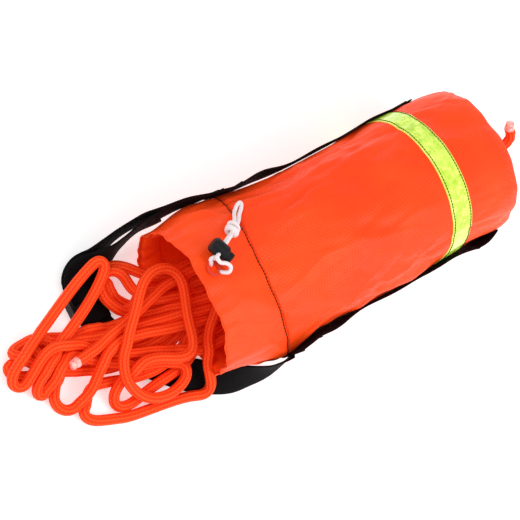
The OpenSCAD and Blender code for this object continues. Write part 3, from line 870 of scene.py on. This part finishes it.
def make_band(grid):
    """Reflective tape round the bag, and the stitching of the tape and of the collar's seam."""
    xs = np.linspace(BAND[0], BAND[1], BAND_ROWS)
    rings = rows_at(grid, xs)
    normal = surface_normals(rings)
    edge = np.abs(np.linspace(-1, 1, BAND_ROWS))
    lift = 0.75 - 0.35 * edge**8
    sheet = rings + normal * lift[:, None, None]
    sheet[..., 2] = np.maximum(sheet[..., 2], 0.2)
    around = np.arange(ROUND + 1) / ROUND * UV_ROUND
    uv = np.stack(np.meshgrid(around, xs - BAND[0]), axis=-1).reshape(-1, 2)
    piece = shell_object("reflective_tape", sheet, TAPE_T, tape_material(), uv)
    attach(piece, "bag")
    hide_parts("reflective_band")
    edges = (BAND[0] + STITCH_INSET, BAND[1] - STITCH_INSET)
    lines = [rows_at(grid, np.array([x]))[0] for x in edges]
    stitch_rings("band_thread", lines, 1.0, *BAND_STITCH, "band_stitching")
    seam = grid[RINGS_COLLAR - 1]
    stitch_rings("collar_thread", [seam], 0.55, *SEAM_STITCH, "collar_seam_stitching")


def stitch_rings(name, rings, lift, pitch, radius, node):
    """Rows of sewn stitches, each a short bowed length of thread."""
    points, faces = [], []
    for ring in rings:
        closed = np.vstack([ring, ring[:1]])
        fine = resample(closed, 0.5)
        middle = fine.mean(axis=0)
        outward = unit((fine - middle) * [0, 1, 1])
        s = lengths(fine)
        for k in range(int(s[-1] / pitch)):
            inside = (s >= k * pitch) & (s <= (k + 1.0) * pitch)
            run = fine[inside]
            if len(run) < 3 or run[:, 2].min() < 2:
                continue
            bow = np.sin(np.linspace(0, math.pi, len(run)))
            run = run + outward[inside] * (lift - 0.3 + 0.3 * bow)[:, None]
            add_thread(points, faces, run, radius * (0.75 + 0.25 * bow))
    piece = mesh_object(name, np.array(points), faces, None, thread_material(name))
    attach(piece, "bag")
    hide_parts(node)


# ---- drawcord and lock
LOCK_AT = np.array([-119.0, 23.0, 86.0])
LOCK_PITCH = math.radians(9)
LOCK_YAW = math.radians(25)


def lock_point(x, y, z):
    """Place near the cord lock: the cord runs along its x, the button points along its -y."""
    turned = Matrix.Rotation(LOCK_YAW, 3, "Z") @ Matrix.Rotation(LOCK_PITCH, 3, "Y")
    return LOCK_AT + np.array(turned @ Vector((x, y, z)))


KNOT_AT = np.array([-98.6, 32.6, 79.6])
KNOT_RUN = np.array([0.80, 0.49, -0.34])
KNOT_TURNS = 2.9
KNOT_STEPS = 48
KNOT_LEN = 9.0
CORD_STEP = 0.8
END_LOOP = [(-94.6, 35.4, 77.6), (-89.6, 38.8, 74.4), (-83.5, 43.2, 68.6), (-77, 47.2, 66),
            (-73, 48, 65.4), (-74.6, 44.8, 66.6), (-81, 40.6, 69.8), (-88, 36.4, 75.4),
            (-94.2, 33.4, 78.0)]
# From the eyelet to the lock, and places along the cord inside and past the lock
OUTWARD = [(-126, 16, 74), (-127.5, 18, 80.5), (-128, 20.5, 83.5), (-125.5, 20.5, 85.6)]
INWARD = [(-125, 13, 74), (-123, 9, 80.5), (-119.5, 6.8, 83.6), (-117.5, 9.5, 85.6),
          (-120.5, 13, 87.6), (-125, 15.5, 88)]
LOCK_STATIONS = (-8, -3, 4, 9, 13.5)


def knot_wrap():
    """Three turns of cord drawn tight round both strands."""
    along = unit(KNOT_RUN)
    side = unit(np.cross(along, [0, 0, 1.0]))
    up = np.cross(side, along)
    points = []
    for k in range(KNOT_STEPS + 1):
        t = k / KNOT_STEPS
        a = 2 * math.pi * KNOT_TURNS * t
        r = 3.7 - 1.6 * abs(2 * t - 1) ** 5
        swing = 0.8 * math.sin(a * 0.5 + 0.7)
        points.append(KNOT_AT + along * (KNOT_LEN * (t - 0.5) + swing)
                      + r * (math.cos(a) * side * 1.12 + math.sin(a) * up * 0.9))
    return points


def make_drawcord():
    """Drawcord from the eyelet through the lock to its knot and end loop."""
    material = cord_material()
    wrap = tube_object("drawcord_knot_wrap", spline(knot_wrap(), CORD_STEP), CORD_R, CORD_SIDES,
                       material)
    strands = []
    for side, start in ((-1, OUTWARD), (1, INWARD)):
        z = side * (CORD_R + 0.05)
        route = start + [tuple(lock_point(x, 0, z)) for x in LOCK_STATIONS]
        route.append(tuple(KNOT_AT + KNOT_RUN * -6 + np.array([0, 0, z * 0.8])))
        route.append(tuple(KNOT_AT + np.array([0, 0, z * 0.6])))
        strands.append(route)
    path = spline(strands[0] + END_LOOP + strands[1][::-1], CORD_STEP)
    cord = tube_object("drawcord_line", path, CORD_R, CORD_SIDES, material)
    for piece in (wrap, cord):
        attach(piece, "bag")
    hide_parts("drawcord_tails", "drawcord_end_loop")
    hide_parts("drawcord_knot")


def main():
    set_look()
    make_camera()
    make_rope()
    make_drawcord()
    make_webbing()
    grid = shape_bag()
    make_bag(grid)
    make_band(grid)
    dress_cad_nodes()
    make_stage()


# ---- materials
class Nodes:
    """Short names for building a material's nodes."""

    def __init__(self, name):
        self.material = bpy.data.materials.new(name)
        self.material.use_nodes = True
        self.tree = self.material.node_tree
        self.shader = self.tree.nodes["Principled BSDF"]

    def link(self, source, target):
        if isinstance(source, (int, float)):
            target.default_value = source
        elif isinstance(source, (tuple, list)):
            target.default_value = tuple(source) + (1,) * (len(target.default_value) - len(source))
        else:
            self.tree.links.new(source, target)

    def math(self, kind, *values):
        node = self.tree.nodes.new("ShaderNodeMath")
        node.operation = kind
        for value, socket in zip(values, node.inputs):
            self.link(value, socket)
        return node.outputs[0]

    def mul(self, a, b):
        return self.math("MULTIPLY", a, b)

    def add(self, a, b):
        return self.math("ADD", a, b)

    def sub(self, a, b):
        return self.math("SUBTRACT", a, b)

    def sine(self, a):
        return self.math("SINE", a)

    def uv(self):
        node = self.tree.nodes.new("ShaderNodeUVMap")
        node.uv_map = "UVMap"
        split = self.tree.nodes.new("ShaderNodeSeparateXYZ")
        self.tree.links.new(node.outputs[0], split.inputs[0])
        return split.outputs[0], split.outputs[1]

    def place(self):
        return self.tree.nodes.new("ShaderNodeTexCoord").outputs["Object"]

    def noise(self, where, scale, detail=3.0, rough=0.5):
        node = self.tree.nodes.new("ShaderNodeTexNoise")
        node.inputs["Scale"].default_value = scale
        node.inputs["Detail"].default_value = detail
        node.inputs["Roughness"].default_value = rough
        if where is not None:
            self.tree.links.new(where, node.inputs["Vector"])
        return node.outputs["Fac"]

    def vector(self, x, y, z=0.0):
        node = self.tree.nodes.new("ShaderNodeCombineXYZ")
        for value, socket in zip((x, y, z), node.inputs):
            self.link(value, socket)
        return node.outputs[0]

    def mix(self, factor, low, high):
        node = self.tree.nodes.new("ShaderNodeMix")
        node.data_type = "RGBA"
        self.link(factor, node.inputs[0])
        self.link(low, node.inputs[6])
        self.link(high, node.inputs[7])
        return node.outputs[2]

    def ramp(self, value, low, high):
        node = self.tree.nodes.new("ShaderNodeMapRange")
        node.inputs["From Min"].default_value = low
        node.inputs["From Max"].default_value = high
        self.link(value, node.inputs["Value"])
        return node.outputs[0]

    def bump(self, height, strength, distance):
        node = self.tree.nodes.new("ShaderNodeBump")
        node.inputs["Strength"].default_value = strength
        node.inputs["Distance"].default_value = distance
        self.link(height, node.inputs["Height"])
        self.tree.links.new(node.outputs[0], self.shader.inputs["Normal"])

    def set(self, name, value):
        self.link(value, self.shader.inputs[name])


def rope_material():
    """Hollow braid: columns of slanted strands along the rope, with painted shade in its grooves and
    a faint painted glow.
    """
    n = Nodes("rope_braid")
    u, v = n.uv()
    column = n.mul(u, 8.0)
    local = n.math("FRACT", column)
    parity = n.math("MODULO", n.math("FLOOR", column), 2.0)
    slant = n.sub(n.mul(parity, 2.0), 1.0)
    across = n.mul(slant, n.mul(local, 0.6))
    run = n.add(n.mul(v, 0.36), across)
    strand = n.math("ABSOLUTE", n.sine(n.mul(run, math.pi)))
    ridge = n.sine(n.mul(local, math.pi))
    fibre = n.noise(n.vector(n.mul(u, 60.0), n.mul(v, 1.2)), 1.0, 2.0)
    height = n.add(n.mul(strand, 0.35), n.mul(ridge, 0.65))
    height = n.add(height, n.mul(n.sub(fibre, 0.5), 0.3))
    # Colour darker in the grooves between strands: painted groove shade, with random fibre tone from
    # the noise.
    weave_shade_and_tone = n.ramp(height, 0.15, 0.85)
    n.set("Base Color", n.mix(weave_shade_and_tone, (0.86, 0.018, 0.003), (1.0, 0.090, 0.015)))
    n.set("Roughness", 0.6)
    n.set("Specular IOR Level", 0.10)
    # A faint red emission: a painted glow that lifts the shaded sides of the rope.
    n.set("Emission Color", (1.0, 0.03, 0.002))
    n.set("Emission Strength", 0.04)
    n.bump(height, 0.75, 0.0009)
    return n.material


@cache
def seal_material():
    """Melted rope end under clear tape: milky pink with a slight gloss."""
    n = Nodes("melted_seal")
    where = n.place()
    cloud = n.noise(where, 420.0, 4.0)
    n.set("Base Color", n.mix(n.ramp(cloud, 0.35, 0.7), (0.90, 0.22, 0.17), (0.95, 0.66, 0.62)))
    n.set("Roughness", 0.22)
    n.set("Coat Weight", 0.5)
    n.set("Subsurface Weight", 0.2)
    n.set("Subsurface Radius", (0.004, 0.002, 0.001))
    n.bump(cloud, 0.35, 0.0005)
    return n.material


def fabric_material():
    """Coated ripstop: a fine honeycomb weave with a satin sheen, painted shade in the weave's
    hollows, random tone and a faint painted glow.
    """
    n = Nodes("orange_fabric")
    u, v = n.uv()
    cells = []
    for turn in (0, 60, 120):
        a = math.radians(turn + 15)
        run = n.add(n.mul(u, math.cos(a)), n.mul(v, math.sin(a)))
        cells.append(n.math("COSINE", n.mul(run, 2 * math.pi / 2.2)))
    hexes = n.add(n.add(cells[0], cells[1]), cells[2])
    thread = n.sine(n.mul(n.add(u, v), 2 * math.pi / 0.6))
    where = n.place()
    cloud = n.noise(where, 16.0, 3.0)
    crease = n.noise(where, 70.0, 5.0, 0.6)
    height = n.add(n.mul(hexes, 0.16), n.mul(thread, 0.05))
    # Colour darker in the weave's hollows: painted shade, plus random tone from the cloud noise.
    weave_shade_and_tone = n.add(n.mul(n.ramp(hexes, -1.5, 3.0), 0.35),
                   n.mul(n.ramp(cloud, 0.35, 0.65), 0.4))
    n.set("Base Color", n.mix(weave_shade_and_tone, (0.92, 0.046, 0.002), (1.0, 0.094, 0.007)))
    n.set("Roughness", n.add(0.36, n.mul(crease, 0.16)))
    n.set("Sheen Weight", 0.10)
    n.set("Sheen Roughness", 0.35)
    n.set("Sheen Tint", (1.0, 0.45, 0.25, 1.0))
    n.set("Specular IOR Level", 0.22)
    # A faint red emission: a painted glow that lifts the shaded sides of the fabric.
    n.set("Emission Color", (1.0, 0.03, 0.001))
    n.set("Emission Strength", 0.05)
    height = n.add(height, n.mul(crease, 1.2))
    n.bump(height, 0.5, 0.0004)
    return n.material


def webbing_material():
    """Black webbing: ribs along its length crossed by slanted picks, with painted shade between them
    and random fuzz tone.
    """
    n = Nodes("black_webbing")
    u, v = n.uv()
    rib = n.math("ABSOLUTE", n.sine(n.mul(u, math.pi / 1.25)))
    parity = n.math("MODULO", n.math("FLOOR", n.mul(n.add(u, 50.0), 0.8)), 2.0)
    slant = n.sub(n.mul(parity, 2.0), 1.0)
    run = n.add(n.mul(v, 1.1), n.mul(n.mul(u, slant), 0.7))
    pick = n.math("ABSOLUTE", n.sine(n.mul(run, math.pi)))
    fuzz = n.noise(n.vector(n.mul(u, 3.0), n.mul(v, 0.6)), 2.0, 3.0)
    height = n.add(n.add(n.mul(rib, 0.5), n.mul(pick, 0.5)),
                    n.mul(fuzz, 0.4))
    # Colour darker between ribs and picks: painted groove shade, with random fuzz tone.
    weave_shade_and_tone = n.ramp(height, 0.3, 1.3)
    n.set("Base Color", n.mix(weave_shade_and_tone, (0.0015, 0.0015, 0.0018), (0.008, 0.0075, 0.0085)))
    n.set("Roughness", 0.7)
    n.set("Specular IOR Level", 0.07)
    n.bump(height, 0.7, 0.0005)
    return n.material


def tape_material():
    """Lime prismatic tape: glossy film over small bright and dull cells, with a sewn border and a
    faint painted glow.
    """
    n = Nodes("reflective_tape")
    u, v = n.uv()
    cell = n.tree.nodes.new("ShaderNodeTexVoronoi")
    cell.inputs["Scale"].default_value = 0.42
    n.link(n.vector(u, v), cell.inputs["Vector"])
    facet = n.noise(cell.outputs["Color"], 3.0, 0.0)
    mottle = n.noise(n.vector(u, v), 0.16, 3.0)
    mixed = n.add(n.mul(facet, 0.6), n.mul(mottle, 0.7))
    bright = n.ramp(mixed, 0.45, 0.85)
    core = n.mix(bright, (0.42, 0.66, 0.015), (0.80, 0.98, 0.16))
    edge = n.math("ABSOLUTE", n.sub(v, 10.0))
    border = n.ramp(edge, 9.1, 9.5)
    n.set("Base Color", n.mix(border, core, (0.86, 0.66, 0.08)))
    n.set("Roughness", n.add(0.16, n.mul(facet, 0.25)))
    n.set("Coat Weight", 0.6)
    n.set("Coat Roughness", 0.12)
    # A faint lime emission: a painted glow.
    n.set("Emission Color", (0.55, 0.9, 0.05))
    n.set("Emission Strength", 0.08)
    n.bump(n.add(cell.outputs["Distance"], n.mul(mottle, 0.6)), 0.35, 0.0004)
    return n.material


@cache
def thread_material(name):
    """Dark polyester thread with a fine twist."""
    colours = ((0.004, 0.003, 0.003), (0.018, 0.012, 0.010))
    return grained_material("thread_" + name, (2500.0, 2.0), colours, 0.7, 0, (0.4, 0.0002),
                            (("Specular IOR Level", 0.1),))


@cache
def cord_material():
    """White braided cord, with painted pink bounce light from the orange round it and painted shade
    in its grooves.
    """
    n = Nodes("cord_braid")
    u, v = n.uv()
    around = n.mul(u, 6.0)
    left = n.sine(n.mul(n.add(around, v), math.pi * 2))
    right = n.sine(n.mul(n.sub(around, v), math.pi * 2))
    weave = n.mul(left, right)
    fuzz = n.noise(n.place(), 1500.0, 3.0)
    height = n.add(weave, n.mul(fuzz, 0.5))
    # Painted shade and bounce light: grooves darker and pinker, ridges near white.
    n.set("Base Color", n.mix(n.ramp(height, -0.8, 1.0), (0.80, 0.62, 0.63), (0.95, 0.90, 0.91)))
    n.set("Roughness", 0.6)
    n.set("Sheen Weight", 0.3)
    n.bump(height, 0.5, 0.0003)
    return n.material


def grained_material(name, noise, colours, rough, vary, bump, extra=()):
    """Plain material with a fine grain in its colour, its surface and, if it varies, its gloss."""
    n = Nodes(name)
    grain = n.noise(n.place(), *noise)
    n.set("Base Color", n.mix(grain, *colours))
    for socket, value in extra:
        n.set(socket, value)
    n.set("Roughness", n.add(rough, n.mul(grain, vary)) if vary else rough)
    n.bump(grain, *bump)
    return n.material


PLASTIC = ((900.0, 3.0), ((0.002, 0.0025, 0.003), (0.006, 0.007, 0.008)))
METAL = ((500.0, 4.0), ((0.55, 0.55, 0.56), (0.8, 0.8, 0.8)))
FOAM = ((700.0, 5.0), ((0.75, 0.72, 0.64), (0.92, 0.90, 0.84)))
ORANGE_THREAD = ((1800.0, 2.0), ((0.55, 0.02, 0.005), (0.85, 0.05, 0.01)))
PLASTIC_SHINE = (("Specular IOR Level", 0.22),)


def dress_cad_nodes():
    """Gives the hard CAD parts their finished materials."""
    fine = (0.15, 0.0002)
    plastic = grained_material("black_plastic", *PLASTIC, 0.32, 0.15, fine, PLASTIC_SHINE)
    button = grained_material("button_plastic", *PLASTIC, 0.26, 0.15, fine, PLASTIC_SHINE)
    metal = grained_material("plated_metal", *METAL, 0.2, 0.2, (0.1, 0.0001), (("Metallic", 1.0),))
    foam = grained_material("float_foam", *FOAM, 0.8, 0, (0.5, 0.0004))
    thread = grained_material("orange_thread", *ORANGE_THREAD, 0.55, 0, (0.6, 0.0004))
    finish = {
        "strap_slider": plastic, "cord_lock_barrel": plastic, "cord_lock_button": button,
        "cord_lock_spring": metal, "base_grommet": metal, "grommet_washer": metal,
        "float_disc": foam, "cord_eyelet": thread}
    for node, material in finish.items():
        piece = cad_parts[node]
        piece.data.materials.clear()
        piece.data.materials.append(material)


# ---- stage and light
FLOOR_HALF = 4000
FLOOR_GLOW = 0.42
WORLD_LIGHT = 0.75


def make_stage():
    """Plain pale floor under even light, with a large soft key and a weaker fill."""
    size = FLOOR_HALF
    corners = [(-size, -size, 0), (size, -size, 0), (size, size, 0), (-size, size, 0)]
    floor = mesh_object("floor", corners, [(0, 1, 2, 3)])
    n = Nodes("pale_floor")
    grain = n.noise(n.place(), 3.0, 2.0)
    n.set("Base Color", n.mix(grain, (0.80, 0.80, 0.80), (0.84, 0.84, 0.84)))
    n.set("Roughness", 0.9)
    n.set("Emission Color", (1.0, 1.0, 1.0))
    n.set("Emission Strength", FLOOR_GLOW)
    floor.data.materials.append(n.material)
    world = bpy.data.worlds.new("studio")
    world.use_nodes = True
    world.node_tree.nodes["Background"].inputs[0].default_value = (1, 1, 1, 1)
    world.node_tree.nodes["Background"].inputs[1].default_value = WORLD_LIGHT
    bpy.context.scene.world = world
    add_light("key", (0.25, -0.9, 1.1), (0.0, 0.0, 0.05), 0.9, 11.0)
    add_light("fill", (-0.9, 0.6, 1.0), (0.0, 0.0, 0.05), 1.0, 5.0)


def add_light(name, place, target, size, power):
    """Square soft light at a place, aimed at a target."""
    data = bpy.data.lights.new(name, "AREA")
    data.size = size
    data.energy = power
    light = bpy.data.objects.new(name, data)
    bpy.context.scene.collection.objects.link(light)
    away = Vector(np.array(place) - np.array(target))
    light.location = place
    light.rotation_mode = "QUATERNION"
    light.rotation_quaternion = away.to_track_quat("Z", "Y")


def set_look():
    bpy.context.scene.view_settings.view_transform = "Standard"


main()
